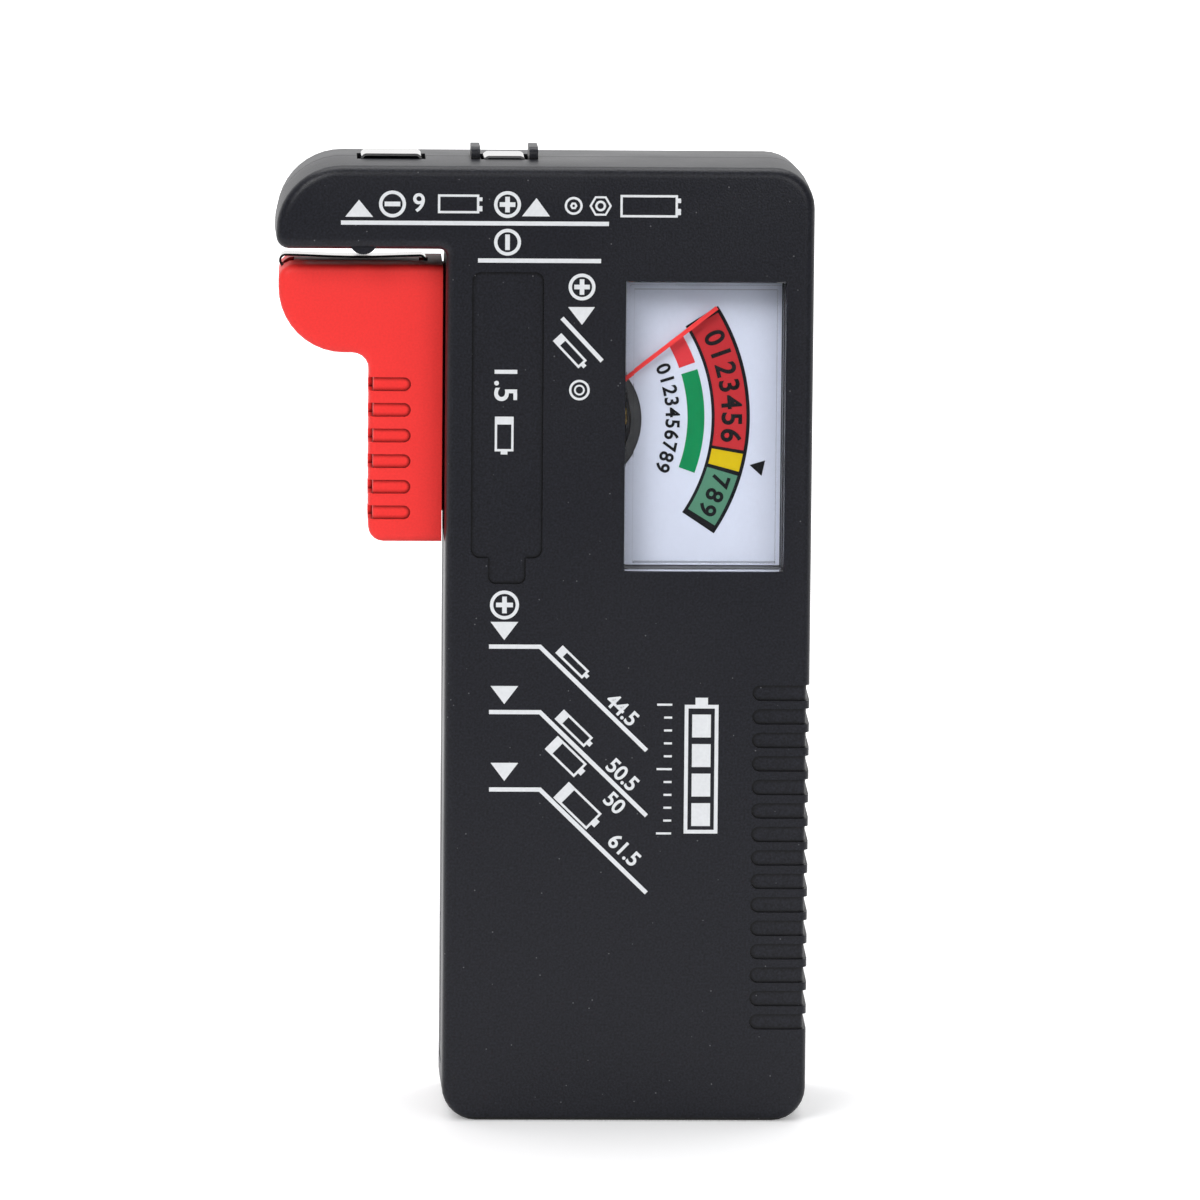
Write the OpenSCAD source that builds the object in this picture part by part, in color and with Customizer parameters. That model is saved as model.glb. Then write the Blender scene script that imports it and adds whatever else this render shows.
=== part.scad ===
// Analogue battery tester: a two-shell case with a fixed contact arm, a sprung slide jaw
// and a moving-coil meter behind a clear window.
// Millimetres. The tester stands on its lower end: +Z up, the front faces -Y.

/* [Case] */
// Width of the case body, without the arm
body_w = 41.4; // [40.4:0.2:46]
// Height of the case
body_h = 108; // [107:0.5:116]
// Depth of the front shell, from the seam to the face
front_d = 12.4; // [12.2:0.1:14]
// Depth of the rear shell, from the seam to the back
rear_d = 12.8; // [12.2:0.1:15]
// Length of the contact arm beyond the body
arm_l = 19; // [18.8:0.1:22]
// Height of the contact arm
arm_h = 9.7; // [9.4:0.1:9.9]
// Wall thickness of the shells
wall = 1.8; // [1.5:0.05:1.9]
// Rounding of the shells' outer edges
edge_r = 1.2; // [0.9:0.1:1.4]
// Mould draft of the side walls, in degrees
draft = 1; // [0.5:0.1:1.2]
// Outline radius at the top right corner
top_r = 4.8; // [3.5:0.1:6]
// Outline radius at the two lower corners
foot_r = 4; // [2.5:0.1:5]
// Outline radius at the top of the arm's end
arm_top_r = 7.6; // [5:0.1:7.6]
// Outline radius at the bottom of the arm's end
arm_low_r = 1.6; // [1.5:0.1:1.6]
// Width of the V-shaped line where the shells meet
seam = 0.12; // [0.08:0.02:0.2]

/* [Grip ribs] */
// Number of finger grooves on the right edge
grip_n = 15; // [10:1:15]
// Spacing of the grooves
grip_pitch = 2.67; // [2.4:0.01:2.8]
// Height of one groove
groove_h = 1.76; // [1.2:0.02:1.9]
// Depth of the grooves
groove_d = 0.35; // [0.2:0.05:0.5]
// Length of the grooves on the front face
groove_l = 6.65; // [4:0.05:7]
// Height of the lowest groove's centre
grip_z = 11.45; // [9:0.05:13]

/* [Window and label recess] */
// Width of the clear window
window_w = 17.7; // [16.5:0.1:18.4]
// Height of the clear window
window_h = 32.4; // [30:0.1:33]
// Distance from the window to the right side of the case
window_side = 3.4; // [3.3:0.1:4]
// Distance from the window to the top of the case
window_top = 13; // [12.6:0.1:14]
// How far the window stands out of the front face
window_proud = 0.4; // [0:0.05:0.6]
// Thickness of the clear moulding
lens_t = 0.85; // [0.6:0.05:1.1]
// Width of the label recess
label_w = 8; // [7:0.1:9]
// Height of the label recess
label_h = 32.1; // [28:0.1:33]
// Depth of the label recess
label_d = 0.3; // [0.15:0.05:0.5]

/* [Slide jaw] */
// Height of the red slide jaw
jaw_h = 31.3; // [31:0.1:33]
// Reach of the jaw's nose from the case side
jaw_l = 18.6; // [18:0.1:19]
// Width of the jaw's grip
jaw_grip_w = 8.46; // [8:0.02:9.4]
// Depth of the jaw, front to back
jaw_d = 15.5; // [14.5:0.1:17]
// Radius of the underside of the nose
nose_r = 7.4; // [6.5:0.1:7.4]
// Gap between the arm and the jaw when the jaw is up
jaw_gap = 1.9; // [1.8:0.05:2.3]
// Downward travel of the jaw
jaw_travel = 61; // [56:0.5:61]
// Number of thumb notches in the jaw's grip
notch_n = 6; // [4:1:6]
// Spacing of the thumb notches
notch_pitch = 2.89; // [2.5:0.01:3]
// Height of one thumb notch
notch_h = 1.57; // [1.2:0.01:1.8]
// Depth of the thumb notches
notch_d = 0.5; // [0.3:0.05:0.7]

/* [Contacts] */
// Spacing of the two nine-volt terminals
snap_pitch = 12.7; // [12.7:0.1:13.2]
// Distance of the right nine-volt terminal from the body's left side
snap_x = 6.75; // [6.4:0.05:7]
// Thickness of the contact strips
strip_t = 0.25; // [0.2:0.05:0.4]
// Width of the strip under the arm
strip_w = 5.6; // [5:0.1:6]
// Width of the strip on the jaw
jaw_strip_w = 3.6; // [3.2:0.1:5]
// Height of the guard ribs beside the right terminal
guard_h = 1.3; // [1:0.1:1.6]

/* [Meter] */
// Radius of the meter's iron yoke
yoke_r = 7.6; // [7.2:0.05:7.6]
// Radius of the core magnet
core_r = 4.9; // [4.5:0.05:4.9]
// Length of the pointer from its pivot to its tip
pointer_l = 20.7; // [19:0.1:21.5]
// Angle of the resting pointer above the horizontal
pointer_rest = 38; // [34:1:38]
// Depth of the dial behind the window's outer face
dial_depth = 5.3; // [5.1:0.05:5.5]

/* [Fasteners and spring] */
// Core radius of the case screws
screw_r = 1.15; // [1:0.05:1.3]
// Radius of the case screws' heads
screw_head_r = 2.4; // [2:0.1:2.6]
// Wire radius of the return spring
spring_wire_r = 0.25; // [0.2:0.01:0.3]
// Mean coil radius of the return spring
spring_r = 1.4; // [1.2:0.05:1.4]
// Number of turns of the return spring
spring_turns = 25; // [18:1:26]

/* [Hidden] */
$fn = 48;

CASE = [0.12, 0.12, 0.13];
RED = [0.92, 0.16, 0.14];
NICKEL = [0.8, 0.8, 0.78];
BRASS = [0.8, 0.66, 0.3];
IRON = [0.45, 0.45, 0.47];
COPPER = [0.72, 0.42, 0.25];

eps = 0.01;            // a cut's overlap with the face it starts from
slack = 0.1;           // clearance between seated pieces
run = 0.25;            // clearance between moving pieces
min_r = 0.15;          // the smallest radius an outline corner keeps

// Levels and positions that several pieces share. x = 0 is the body's left side at the seam.
arm_z = body_h - arm_h;                        // underside of the arm
seam_shift = (body_w - arm_l) / 2;             // from the left side to the middle of the whole tester
window_x = body_w - window_side - window_w;    // left edge of the window
window_z = body_h - window_top - window_h;     // lower edge of the window
window_front = -front_d - window_proud;        // the window's outer face
front_in = -front_d + wall;                    // inner face of the front wall
rear_in = rear_d - wall;                       // inner face of the rear wall
flange_w = 1.1;                                // flange around the window, behind the front wall
flange_t = 0.8;
dial_y = window_front + dial_depth;            // front of the dial plate
dial_t = 0.3;
pivot = [window_x - 6.1, window_z + window_h / 2 + 0.3];

// ---- Outlines with rounded corners, and solids lofted through them ----

// A corner is [sharp point, direction inwards, radius, start angle, turn]. A turn of -90 is a hollow corner.
case_corners = [
    [[body_w, 0], [-1, 1], foot_r, -90, 90],
    [[body_w, body_h], [-1, -1], top_r, 0, 90],
    [[-arm_l, body_h], [1, -1], arm_top_r, 90, 90],
    [[-arm_l, arm_z], [1, 1], arm_low_r, 180, 90],
    [[0, arm_z], [1, 1], 0.6, 90, -90],
    [[0, 0], [1, 1], foot_r, 180, 90]];

// lean is the draft's share of the inset. Corners at z = 0 take none of it, so the foot stays flat.
function corner_steps(r) = 3 + round(r);
function corner_points(c, inset, lean) =
    let (r = c[4] > 0 ? max(c[2] - inset, min_r) : c[2] + inset,
         centre = c[0] + c[1] * (c[4] > 0 ? inset + r : -c[2]) - [0, c[0][1] == 0 ? lean : 0],
         n = corner_steps(c[2]))
    [for (i = [0:n]) centre + r * [cos(c[3] + c[4] * i / n), sin(c[3] + c[4] * i / n)]];
function ring(corners, inset, y, lean = 0) =
    [for (c = corners) for (p = corner_points(c, inset, lean)) [p[0], y, p[1]]];

// Evaluates its children as one solid of flat facets.
module one_mesh() minkowski() { union() children(); }

// Rings run towards -Y.
module loft(rings) {
    n = len(rings[0]);
    last = len(rings) - 1;
    polyhedron(points = [for (r = rings) each r],
        faces = concat([[for (i = [0:n - 1]) i]], [[for (i = [n - 1:-1:0]) last * n + i]],
            [for (k = [0:last - 1]) for (i = [0:n - 1])
                let (j = (i + 1) % n) [(k + 1) * n + i, (k + 1) * n + j, k * n + j, k * n + i]]));
}

// Rings of a drafted wall that ends in a rounded edge, inset from the outer skin.
function edge_rings(corners, depth, inset, round_r, slope, steps) =
    let (r = max(round_r - inset, 0.4), flat = depth - inset - r, lean = flat * tan(slope))
    [for (i = [0:steps]) let (a = 90 * i / steps)
        ring(corners, inset + lean + r * (1 - cos(a)), -flat - r * sin(a), lean)];

module case_skin(depth, inset, start)
    loft(concat([ring(case_corners, inset, start)], edge_rings(case_corners, depth, inset, edge_r, draft, 4)));
module case_outer(depth)
    loft(concat([ring(case_corners, seam, 0), ring(case_corners, 0, -seam)],
        edge_rings(case_corners, depth, 0, edge_r, draft, 5)));

// ---- Small building blocks ----

// A cylinder along Y from y0 to y1 at [x, z].
module rod_y(p, r, y0, y1) translate([p[0], y1, p[1]]) rotate([90, 0, 0]) cylinder(r = r, h = y1 - y0);
// A 2D shape drawn in X and Z, extruded from y0 to y1.
module slab_y(y0, y1) translate([0, y1, 0]) rotate([90, 0, 0]) linear_extrude(y1 - y0) children();
// A box between two corners.
module block(a, b) translate(a) cube(b - a);
// A quarter ring in 2D, with its centre at c: sx and sz say which quarter.
module bend(c, r_in, t, sx, sz) translate(c) intersection() {
    difference() {
        circle(r_in + t);
        circle(r_in);
    }
    translate([sx > 0 ? 0 : -5, sz > 0 ? 0 : -5]) square(5);
}

// A hat-shaped strip in 2D: a plate at height top, legs, and feet that turn outwards at height foot.
module hat_profile(half_w, top, foot, foot_l) {
    r = 0.45;
    t = strip_t;
    translate([-half_w + r + t, top - t]) square([2 * (half_w - r - t), t]);
    for (s = [-1, 1]) {
        bend([s * (half_w - r - t), top - r - t], r, t, s, 1);
        translate([s > 0 ? half_w - t : -half_w, foot + r]) square([t, top - foot - 2 * r - t]);
        bend([s * (half_w + r), foot + r], r, t, -s, -1);
        translate([s > 0 ? half_w + r : -half_w - r - foot_l, foot - t]) square([foot_l, t]);
    }
}

function unit(v) = v / norm(v);
function tangent(path, i) =
    unit(path[min(i + 1, len(path) - 1)] - path[max(i - 1, 0)]);
function carried(u, t) = unit(u - (u * t) * t);
// Normals that follow the path without twisting.
function normals(path, first) =
    [for (i = 0, u = carried(first, tangent(path, 0)); i < len(path);
          i = i + 1, u = i < len(path) ? carried(u, tangent(path, i)) : u) u];
// A round wire of radius r along a path.
module tube(path, r, sides, first) {
    us = normals(path, first);
    last = len(path) - 1;
    points = [for (i = [0:last]) let (t = tangent(path, i), u = us[i], v = cross(t, u))
        for (k = [0:sides - 1]) path[i] + r * (cos(360 * k / sides) * u + sin(360 * k / sides) * v)];
    polyhedron(points = points,
        faces = concat([[for (k = [sides - 1:-1:0]) k]], [[for (k = [0:sides - 1]) last * sides + k]],
            [for (i = [0:last - 1]) for (k = [0:sides - 1])
                let (n = (k + 1) % sides, a = i * sides, b = a + sides)
                each [[a + k, a + n, b + n], [a + k, b + n, b + k]]]));
}
// A smooth curve through hand-placed points.
function spline_point(a, b, c, d, t) =
    0.5 * ((2 * b) + (c - a) * t + (2 * a - 5 * b + 4 * c - d) * t * t + (3 * b - a - 3 * c + d) * t * t * t);
function smooth(p, steps) =
    concat([for (i = [0:len(p) - 2]) for (k = [0:steps - 1])
        spline_point(p[max(i - 1, 0)], p[i], p[i + 1], p[min(i + 2, len(p) - 1)], k / steps)], [p[len(p) - 1]]);

// ---- Shells ----

snap_positive = snap_x;
snap_negative = snap_x - snap_pitch;
snap_half = [3.45, 2.4];       // half widths of the negative and positive terminals
snap_window_y = 3.9;           // half depth of the terminals' openings
guard_t = 1;                   // thickness of a guard rib
guard_y = 3.6;                 // half length of a guard rib
guard_x = snap_half[1] + 0.35; // from the terminal's middle to the guard's inner face
arm_mid = -9.1;                // middle of the jaw's contact zone
arm_strip_half = 6.6;          // half length of the strip under the arm
nib_r = 1.6;
nib_out = 0.4;                 // how far the nib stands below the arm
foot_gap = 0.07;               // clearance between a contact's feet and the wall
snap_foot_z = body_h - wall - foot_gap;
arm_foot_z = arm_z + wall + foot_gap;
snap_foot_l = 1.2;
arm_foot_l = 0.7;
snap_foot_x = [for (i = [0, 1], s = [-1, 1])
    (i == 0 ? snap_negative : snap_positive) + s * (snap_half[i] + 0.45 + snap_foot_l / 2)];
arm_foot_x = [for (s = [-1, 1]) arm_mid + s * (arm_strip_half + 0.45 + arm_foot_l / 2)];
shelf_end = 1.6;               // the shelves stop here, so leads can leave between them
jaw_top = arm_z - jaw_gap;
jaw_low = jaw_top - jaw_h;
tongue_top = jaw_top - 0.4;
tongue_low = jaw_low + 2.9;
tongue_half = 1.35;
foot_half = 4;
foot_x = [wall + 0.3, wall + 1.7];
slot_half = tongue_half + run;
slot_top = tongue_top + 0.3;
slot_low = tongue_low - jaw_travel - 0.3;
track_d = 0.15;                // depth of the track that the jaw runs in
boss_r = 2.9;
pilot_r = screw_r + 0.05;
screw_at = [[body_w - 15.4, body_h - 6.4], [10.6, 9], [body_w - 6.9, 9]];
head_seat = 4.5;               // depth of the screw heads' seats, measured from the seam
post_r = 1.4;
post_at = [for (x = [window_x - 12.8, body_w - 5.4], z = [window_z + 1.6, window_z + window_h - 1.6]) [x, z]];

// The grooves as one set of slots, wider than the case.
module grip_slots(depth)
    for (i = [0:grip_n - 1]) {
        z = grip_z + i * grip_pitch;
        rod_y([body_w - groove_l + groove_h / 2, z], groove_h / 2, -depth - 1, 1);
        block([body_w - groove_l + groove_h / 2, -depth - 1, z - groove_h / 2],
              [body_w + 2, 1, z + groove_h / 2]);
    }

// A guard rib beside the positive terminal, up to the seam.
module guard_rib(x)
    translate([x, 0, body_h - wall]) rotate([90, 0, 90]) linear_extrude(guard_t) {
        translate([-guard_y + 0.9, 0]) square([guard_y - 0.9, wall + guard_h]);
        translate([-guard_y, 0]) square([guard_y, wall + guard_h - 0.9]);
        translate([-guard_y + 0.9, wall + guard_h - 0.9]) circle(0.9, $fn = 24);
    }

// What both shells share, drawn for the front one.
module shell(depth) {
    difference() {
        one_mesh() difference() {
            union() {
                difference() {
                    case_outer(depth);
                    grip_slots(depth);
                }
                case_skin(depth, groove_d, 0);
                difference() {
                    rod_y([arm_mid, arm_z + nib_r - nib_out], nib_r, -depth + 0.5, -depth + 3.5);
                    block([arm_mid - 3, -depth - 1, arm_z + 1], [arm_mid + 3, 0, arm_z + 5]);
                }
            }
            case_skin(depth, wall, 1);
        }
        // the slot for the jaw's tongue and the shallow track around it
        block([-1, -slot_half, slot_low], [wall + 1, 1, slot_top]);
        block([-1, -depth - 1, slot_low - 1], [track_d, 1, arm_z - 0.8]);
        // openings for the contacts
        block([arm_mid - arm_strip_half - 0.3, -strip_w / 2 - 0.2, arm_z - 1],
              [arm_mid + arm_strip_half + 0.3, 1, arm_z + wall + 0.5]);
        block([snap_negative - snap_half[0] - 0.4, -snap_window_y, body_h - wall - 0.5],
              [snap_negative + snap_half[0] + 0.4, 1, body_h + 1]);
        block([snap_positive - snap_half[1] - 0.3, -snap_window_y, body_h - wall - 0.5],
              [snap_positive + snap_half[1] + 0.3, 1, body_h + 1]);
    }
    guard_rib(snap_positive + guard_x);
    guard_rib(snap_positive - guard_x - guard_t);
    // shelves that hold the contacts' feet against the walls
    for (x = snap_foot_x) block([x - 0.5, -depth + wall - 0.3, snap_foot_z - strip_t - 1.2],
                                [x + 0.5, -shelf_end, snap_foot_z - strip_t - 0.03]);
    for (x = arm_foot_x) block([x - 0.3, -depth + wall - 0.3, arm_foot_z + strip_t + 0.03],
                               [x + 0.3, -shelf_end, arm_foot_z + strip_t + 1.2]);
}

module rounded_rect(a, b, r) {
    translate([a[0] + r, a[1]]) square([b[0] - a[0] - 2 * r, b[1] - a[1]]);
    translate([a[0], a[1] + r]) square([b[0] - a[0], b[1] - a[1] - 2 * r]);
    for (x = [a[0] + r, b[0] - r], z = [a[1] + r, b[1] - r]) translate([x, z]) circle(r);
}

label_x = 3.05;                // left edge of the label recess
label_z = body_h - 11.95;      // upper edge of the label recess
tab_x = [label_x + 1.95, label_x + label_w - 1.85];
tab_l = 2.9;

module front_shell() color(CASE) {
    difference() {
        union() {
            shell(front_d);
            for (p = screw_at) rod_y(p, boss_r, front_in - 0.5, 0);
            // rail that keeps the jaw's foot against the side wall
            block([foot_x[1] + run, front_in - 0.5, slot_low + 1], [foot_x[1] + run + 1, -tongue_half - 1.4, arm_z - 2]);
        }
        // window
        block([window_x - slack, -front_d - 1, window_z - slack],
              [window_x + window_w + slack, front_in + 0.5, window_z + window_h + slack]);
        // label recess with its tab
        slab_y(-front_d - 1, -front_d + label_d) {
            rounded_rect([label_x, label_z - label_h], [label_x + label_w, label_z], 1);
            rounded_rect([tab_x[0], label_z - label_h - tab_l], [tab_x[1], label_z - label_h + 2], 0.8);
        }
        for (p = screw_at) rod_y(p, pilot_r, front_in + 1.6, 1);
    }
}

module rear_shell() color(CASE) {
    difference() {
        union() {
            mirror([0, 1, 0]) shell(rear_d);
            for (p = screw_at) rod_y(p, boss_r + 0.8, 0, rear_in + 0.5);
            for (p = post_at) rod_y(p, post_r, meter_back + slack, rear_in + 0.5);
            rod_y(peg_at, peg_r, spring_y - 1.3, rear_in + 0.5);
        }
        for (p = screw_at) {
            rod_y(p, screw_r + 0.35, -1, head_seat + 1);
            rod_y(p, screw_head_r + 0.4, head_seat, rear_d + 1);
        }
    }
}

screw_l = 10;
screw_head_h = 1.7;
module case_screws() color(NICKEL)
    for (p = screw_at) difference() {
        union() {
            rod_y(p, screw_r, head_seat - screw_l, head_seat + 0.5);
            rod_y(p, screw_head_r, head_seat, head_seat + screw_head_h);
        }
        // cross recess
        for (a = [0, 90]) translate([p[0], head_seat + screw_head_h, p[1]]) rotate([0, a, 0])
            cube([2.6, 1.6, 0.55], center = true);
    }

// ---- Window and meter ----

module window() color([0.85, 0.9, 0.95, 0.4]) {
    x1 = window_x + window_w;
    z1 = window_z + window_h;
    difference() {
        union() {
            // the raised pane, its outer edge rounded
            intersection() {
                block([window_x, window_front, window_z], [x1, front_in + slack, z1]);
                union() {
                    block([window_x, window_front + 0.3, window_z], [x1, front_in + slack, z1]);
                    slab_y(window_front, window_front + 0.4)
                        rounded_rect([window_x + 0.25, window_z + 0.25], [x1 - 0.25, z1 - 0.25], 0.3);
                }
            }
            block([window_x - flange_w, front_in + slack, window_z - flange_w],
                  [x1 + flange_w, front_in + slack + flange_t, z1 + flange_w]);
        }
        block([window_x + lens_t, window_front + 1, window_z + lens_t],
              [x1 - lens_t, front_in + 2, z1 - lens_t]);
    }
}

meter_front = dial_y + dial_t;               // front of the frame's floor, which carries the dial
floor_t = 1.2;
meter_back = meter_front + floor_t;          // back of the frame's floor
rim_y = front_in + 2 * slack + flange_t;     // the rim ends just behind the window's flange
frame_x = [pivot[0] - 8.8, window_x + window_w + 0.9];
frame_z = [window_z - 0.9, window_z + window_h + 0.9];
rim_t = 1;
yoke_t = 1.1;
yoke_y = [meter_back + 1, meter_back + 9];   // front and back of the yoke and the core
seat_t = 1;
seat_back = yoke_y[1] + 0.4;
coil_half_w = 1;                             // half width of the coil's sides
coil_gap = 0.2;
former_t = 0.15;
coil_r = [core_r + coil_gap + former_t, core_r + coil_gap + former_t + 0.75];
coil_y = [yoke_y[0] - coil_gap - former_t, yoke_y[1] + coil_gap + former_t];
coil_t = 0.8;
bridge_t = 0.55;
bridge_w = 3.2;
front_bridge_y = front_in + 0.35;            // front face of the front bridge
staff_r = 0.45;
pointer_y = dial_y - 1.1;                    // front face of the pointer
terminal_at = [[window_x + 6.7, window_z + 4], [window_x + 6.7, window_z + window_h - 4]];

module meter_frame() color([0.2, 0.2, 0.2]) {
    difference() {
        union() {
            block([frame_x[0], meter_front, frame_z[0]], [frame_x[1], meter_back, frame_z[1]]);
            // rim
            difference() {
                block([frame_x[0], rim_y, frame_z[0]], [frame_x[1], meter_front + eps, frame_z[1]]);
                block([frame_x[0] + rim_t, rim_y - 1, frame_z[0] + rim_t],
                      [frame_x[1] - rim_t, meter_front, frame_z[1] - rim_t]);
            }
            rod_y(pivot, yoke_r + slack + seat_t, meter_front, seat_back);
        }
        // seat of the yoke, open at the front for the coil
        rod_y(pivot, yoke_r + slack / 2, yoke_y[0] - eps, seat_back + 1);
        rod_y(pivot, yoke_r - yoke_t + 0.3, meter_front - 1, yoke_y[0] + 1);
        for (p = dial_screw_at) rod_y(p, 0.5, meter_front - 1, meter_back - 0.2);
    }
}

dial_x = [window_x - 2.6, frame_x[1] - rim_t - slack];
dial_z = [frame_z[0] + rim_t + slack, frame_z[1] - rim_t - slack];
dial_screw_at = [for (z = [dial_z[0] + 1.4, dial_z[1] - 1.4]) [window_x - 1.1, z]];
module dial_plate() color([0.9, 0.9, 0.94])
    difference() {
        block([dial_x[0], dial_y, dial_z[0]], [dial_x[1], meter_front, dial_z[1]]);
        rod_y(pivot, 8, dial_y - 1, meter_front + 1);
        for (p = dial_screw_at) rod_y(p, 0.55, dial_y - 1, meter_front + 1);
    }

module dial_screws() color(BRASS)
    for (p = dial_screw_at) difference() {
        union() {
            rod_y(p, 0.9, dial_y - 0.5, dial_y);
            rod_y(p, 0.45, dial_y - eps, meter_back - 0.3);
        }
        translate([p[0], dial_y - 0.5, p[1]]) cube([2, 0.4, 0.3], center = true);
    }

module meter_yoke() color(IRON)
    difference() {
        rod_y(pivot, yoke_r, yoke_y[0], yoke_y[1]);
        rod_y(pivot, yoke_r - yoke_t, yoke_y[0] - 1, yoke_y[1] + 1);
    }

module core_magnet() color(IRON) rod_y(pivot, core_r, yoke_y[0], yoke_y[1]);

// Two brass blocks hold the core inside the yoke, clear of the coil's swing.
module core_spacers() color(BRASS)
    intersection() {
        difference() {
            rod_y(pivot, yoke_r - yoke_t, yoke_y[0] + 1, yoke_y[1] - 1);
            rod_y(pivot, core_r, yoke_y[0], yoke_y[1]);
        }
        block([pivot[0] - yoke_r, yoke_y[0], pivot[1] - 0.9], [pivot[0] + yoke_r, yoke_y[1], pivot[1] + 0.9]);
    }

// A strip along Z with two legs, between y0 and y1. The legs end at foot_y.
module bridge(y0, y1, half_l, foot_y, hole_r)
    difference() {
        union() {
            block([pivot[0] - bridge_w / 2, y0, pivot[1] - half_l], [pivot[0] + bridge_w / 2, y1, pivot[1] + half_l]);
            rod_y(pivot, bridge_w / 2 + 0.5, y0, y1);
            for (s = [-1, 1]) block([pivot[0] - bridge_w / 2, min(y0, foot_y), pivot[1] + s * (half_l - 0.4) - 0.4],
                                    [pivot[0] + bridge_w / 2, max(y1, foot_y), pivot[1] + s * (half_l - 0.4) + 0.4]);
        }
        rod_y(pivot, hole_r, y0 - 1, y1 + 1);
    }

jewel_r = 1.1;
bridge_half = yoke_r + slack + seat_t - 0.1;
rear_bridge_y = coil_y[1] + coil_t + 1.6;    // inner face of the rear bridge
module front_bridge() color(BRASS)
    bridge(front_bridge_y, front_bridge_y + bridge_t, bridge_half, meter_front, jewel_r);
module rear_bridge() color(BRASS)
    bridge(rear_bridge_y, rear_bridge_y + bridge_t, bridge_half, seat_back, jewel_r);

// A screw with a conical cup. The cup opens towards dir.
module jewel_screw(y0, y1, dir) color(BRASS)
    difference() {
        rod_y(pivot, jewel_r, y0, y1);
        translate([pivot[0], dir > 0 ? y1 + eps : y0 - eps, pivot[1]]) rotate([dir > 0 ? 90 : -90, 0, 0])
            cylinder(r1 = 0.75, r2 = 0.1, h = 0.65);
        translate([pivot[0], dir > 0 ? y0 : y1, pivot[1]]) cube([3, 0.5, 0.35], center = true);
    }
front_cup_y = front_bridge_y + bridge_t + 0.35;
module front_jewel_screw() jewel_screw(front_bridge_y - 0.15, front_cup_y, 1);
rear_cup_y = rear_bridge_y - 0.35;
module rear_jewel_screw() jewel_screw(rear_cup_y, rear_bridge_y + bridge_t + 0.6, -1);

terminal_w = 4.4;
terminal_t = 0.5;
terminal_l = 8.2;
terminal_hole_r = 0.45;
terminal_hole_x = 1.3;                       // from the tab's middle to a hole
lead_hole_y = meter_back + terminal_l - 1.4;
module meter_terminals() color(BRASS)
    for (p = terminal_at) difference() {
        union() {
            block([p[0] - terminal_w / 2, meter_back, p[1] - terminal_t / 2],
                  [p[0] + terminal_w / 2, meter_back + terminal_l, p[1] + terminal_t / 2]);
            block([p[0] - terminal_w / 2, meter_back, p[1] - 1.3],
                  [p[0] + terminal_w / 2, meter_back + terminal_t, p[1] + 1.3]);
        }
        for (s = [-1, 1])
            translate([p[0] + s * terminal_hole_x, lead_hole_y, p[1] - 2]) cylinder(r = terminal_hole_r, h = 4);
    }

// Pieces that turn with the pointer are drawn with the pointer level, then turned to rest.
module turned() translate([pivot[0], 0, pivot[1]]) rotate([0, -pointer_rest, 0]) children();

// A rectangular loop around the core, seen along its swing: the sides lie above and below the pivot.
module coil_loop(r_in, r_out, y_in, y_out, half_w)
    difference() {
        block([-half_w, y_out[0], -r_out], [half_w, y_out[1], r_out]);
        block([-half_w - 1, y_in[0], -r_in], [half_w + 1, y_in[1], r_in]);
    }
module moving_coil() color(COPPER) turned()
    coil_loop(coil_r[0], coil_r[1], coil_y, [coil_y[0] - coil_t, coil_y[1] + coil_t], coil_half_w);
module coil_former() color([0.8, 0.8, 0.82]) turned()
    coil_loop(core_r + coil_gap, coil_r[0], [yoke_y[0] - coil_gap, yoke_y[1] + coil_gap], coil_y, coil_half_w + 0.3);

staff_tip = 0.6;
module pivot_staffs() color(NICKEL) {
    front_end = front_cup_y - staff_tip;
    rear_end = rear_cup_y + staff_tip;
    rod_y(pivot, staff_r, front_end + staff_tip, coil_y[0] - coil_t);
    translate([pivot[0], front_end + staff_tip, pivot[1]]) rotate([90, 0, 0])
        cylinder(r1 = staff_r, r2 = 0.08, h = staff_tip);
    rod_y(pivot, staff_r, coil_y[1] + coil_t, rear_end - staff_tip);
    translate([pivot[0], rear_end - staff_tip, pivot[1]]) rotate([-90, 0, 0])
        cylinder(r1 = staff_r, r2 = 0.08, h = staff_tip);
}

pointer_w = 0.45;
pointer_t = 0.3;
tail_l = 4.6;
module pointer() color(RED) turned()
    difference() {
        union() {
            linear_blade(staff_r, pointer_l, pointer_w);
            linear_blade(-tail_l, -staff_r, 0.6);
            rod_y([0, 0], 1.1, pointer_y - 0.1, pointer_y + 0.5);
        }
        rod_y([0, 0], staff_r, pointer_y - 1, pointer_y + 2);
    }
module linear_blade(x0, x1, w) block([x0, pointer_y, -w / 2], [x1, pointer_y + pointer_t, w / 2]);

module balance_weight() color(BRASS) turned()
    difference() {
        translate([-tail_l, pointer_y + pointer_t / 2, 0]) rotate([0, 90, 0]) cylinder(r = 0.7, h = 1.7);
        block([-tail_l - 1, pointer_y, -0.3], [0, pointer_y + pointer_t, 0.3]);
    }

// Flat spiral springs around the staff, in front of the coil and behind it.
spiral_turns = 3;
spiral_steps = 18;
spiral_w = 0.12;
function spiral(grow) = [for (i = [0:spiral_steps * spiral_turns])
    let (a = 360 * i / spiral_steps, r = 0.8 + grow + 1.7 * i / (spiral_steps * spiral_turns)) r * [cos(a), sin(a)]];
function reversed(list) = [for (i = [len(list) - 1:-1:0]) list[i]];
module hairsprings() color(BRASS)
    for (y = [coil_y[0] - coil_t - 0.55, coil_y[1] + coil_t + 0.25]) {
        translate([pivot[0], 0, pivot[1]]) slab_y(y, y + 0.35) polygon(concat(spiral(spiral_w), reversed(spiral(0))));
        difference() {
            rod_y(pivot, 0.85, y, y + 0.35);
            rod_y(pivot, staff_r, y - 1, y + 1);
        }
    }

// ---- Contacts ----

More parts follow.
